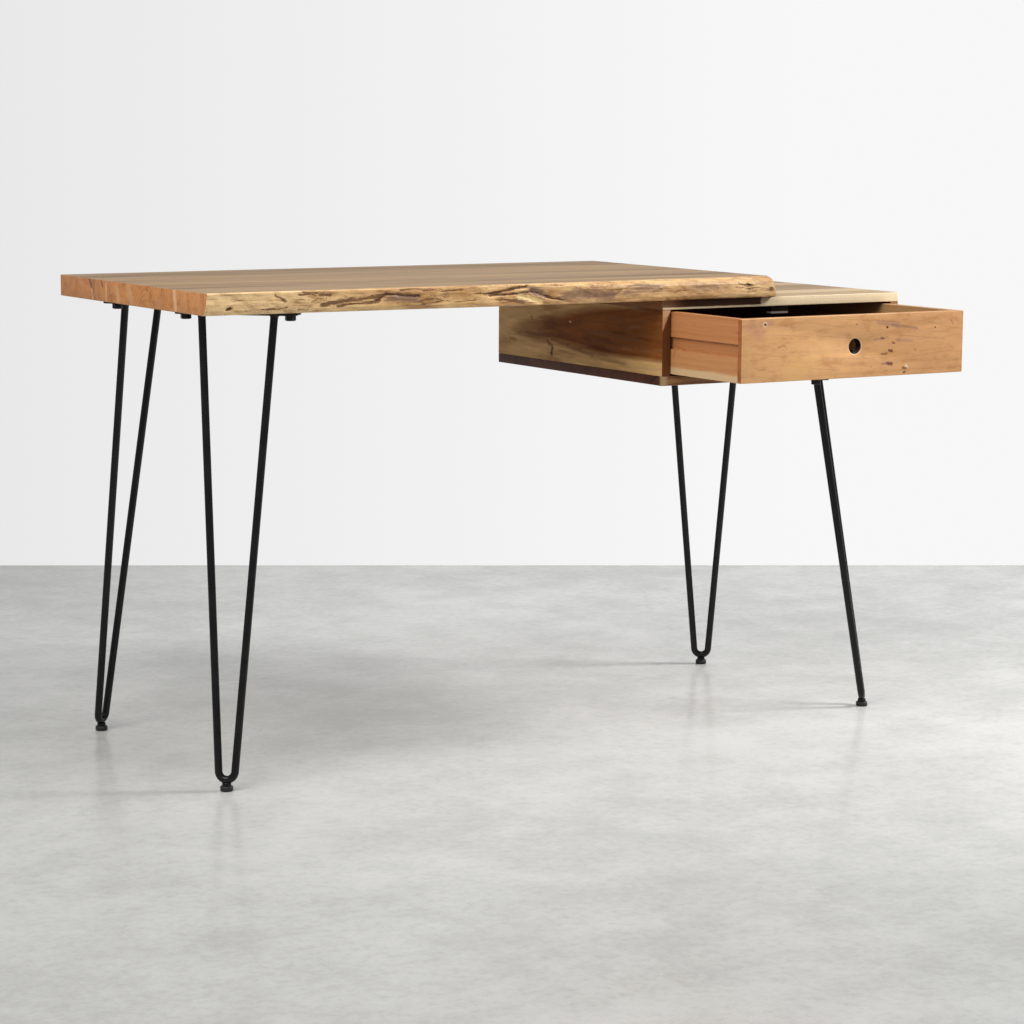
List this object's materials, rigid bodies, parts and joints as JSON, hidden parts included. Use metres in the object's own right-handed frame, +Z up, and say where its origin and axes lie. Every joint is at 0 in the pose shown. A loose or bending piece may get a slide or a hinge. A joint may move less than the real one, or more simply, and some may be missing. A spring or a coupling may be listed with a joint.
{
  "type": "corner desk",
  "caption": "Wooden desk with a live front edge, resting at one end on a wider-set drawer cabinet, on splayed hairpin legs with levelling feet; the drawer slides on runners.",
  "frame": {"origin": "on the floor, in the middle of the bounding box of the whole desk with its drawer as it rests, 190 mm open", "axes": "+X along the desk to its right end, where the cabinet is; +Y to the back, so the drawer opens along -Y; +Z up"},
  "size_m": [1.316, 0.729, 0.762],
  "materials": {
    "top_wood": "sanded acacia, clear matt lacquer, straight grain",
    "live_edge_wood": "acacia sapwood live edge with dark streaks and knots, clear matt lacquer",
    "cabinet_wood": "acacia with dark heartwood and pale sapwood, clear satin lacquer",
    "drawer_wood": "orange-brown acacia, clear satin lacquer",
    "drawer_panel": "plain veneer panel, matt",
    "plain_wood": "plain hardwood, unfinished",
    "black_steel": "black powder coat, fine satin texture",
    "black_bolts": "black oxide hexagon bolts and washers",
    "black_foot": "black nylon levelling foot, matt",
    "zinc_steel": "zinc plated screws and pins"
  },
  "bodies": {
    "frame": {"top_back_board": "top_wood", "top_middle_board": "top_wood", "top_live_edge_board": "live_edge_wood", "cabinet_top": "cabinet_wood", "cabinet_bottom": "cabinet_wood", "cabinet_left_side": "cabinet_wood", "cabinet_right_side": "cabinet_wood", "cabinet_back": "cabinet_wood", "cabinet_dowels": "plain_wood", "top_screws": "zinc_steel", "drawer_stop_screws": "zinc_steel", "runner_screws": "zinc_steel", "drawer_stop": "plain_wood", "left_runner": "plain_wood", "right_runner": "plain_wood", "front_left_plate": "black_steel", "front_left_rod": "black_steel", "front_left_bolts": "black_bolts", "front_left_boss": "black_steel", "back_left_plate": "black_steel", "back_left_rod": "black_steel", "back_left_bolts": "black_bolts", "back_left_boss": "black_steel", "front_right_plate": "black_steel", "front_right_rod": "black_steel", "front_right_bolts": "black_bolts", "front_right_boss": "black_steel", "back_right_plate": "black_steel", "back_right_rod": "black_steel", "back_right_bolts": "black_bolts", "back_right_boss": "black_steel"},
    "drawer": {"drawer_pins": "zinc_steel", "drawer_bottom_screws": "zinc_steel", "drawer_front": "drawer_wood", "drawer_left_side": "drawer_wood", "drawer_right_side": "drawer_wood", "drawer_back": "drawer_wood", "drawer_bottom": "drawer_panel"},
    "front_left_levelling_foot": {"front_left_foot": "black_foot"},
    "back_left_levelling_foot": {"back_left_foot": "black_foot"},
    "front_right_levelling_foot": {"front_right_foot": "black_foot"},
    "back_right_levelling_foot": {"back_right_foot": "black_foot"}
  },
  "joints": [
    {"name": "drawer_slide", "type": "slide", "parent": "frame", "child": "drawer", "axis": [0, -1, 0], "range_m": [-0.19, 0.236]},
    {"name": "front_left_foot_turn", "type": "hinge", "parent": "frame", "child": "front_left_levelling_foot", "pos_m": [-0.60954, -0.13418, 0], "axis": [0, 0, 1], "continuous": true},
    {"name": "back_left_foot_turn", "type": "hinge", "parent": "frame", "child": "back_left_levelling_foot", "pos_m": [-0.60436, 0.34798, 0], "axis": [0, 0, 1], "continuous": true},
    {"name": "front_right_foot_turn", "type": "hinge", "parent": "frame", "child": "front_right_levelling_foot", "pos_m": [0.62471, -0.14499, 0], "axis": [0, 0, 1], "continuous": true},
    {"name": "back_right_foot_turn", "type": "hinge", "parent": "frame", "child": "back_right_levelling_foot", "pos_m": [0.60097, 0.30245, 0], "axis": [0, 0, 1], "continuous": true}
  ]
}
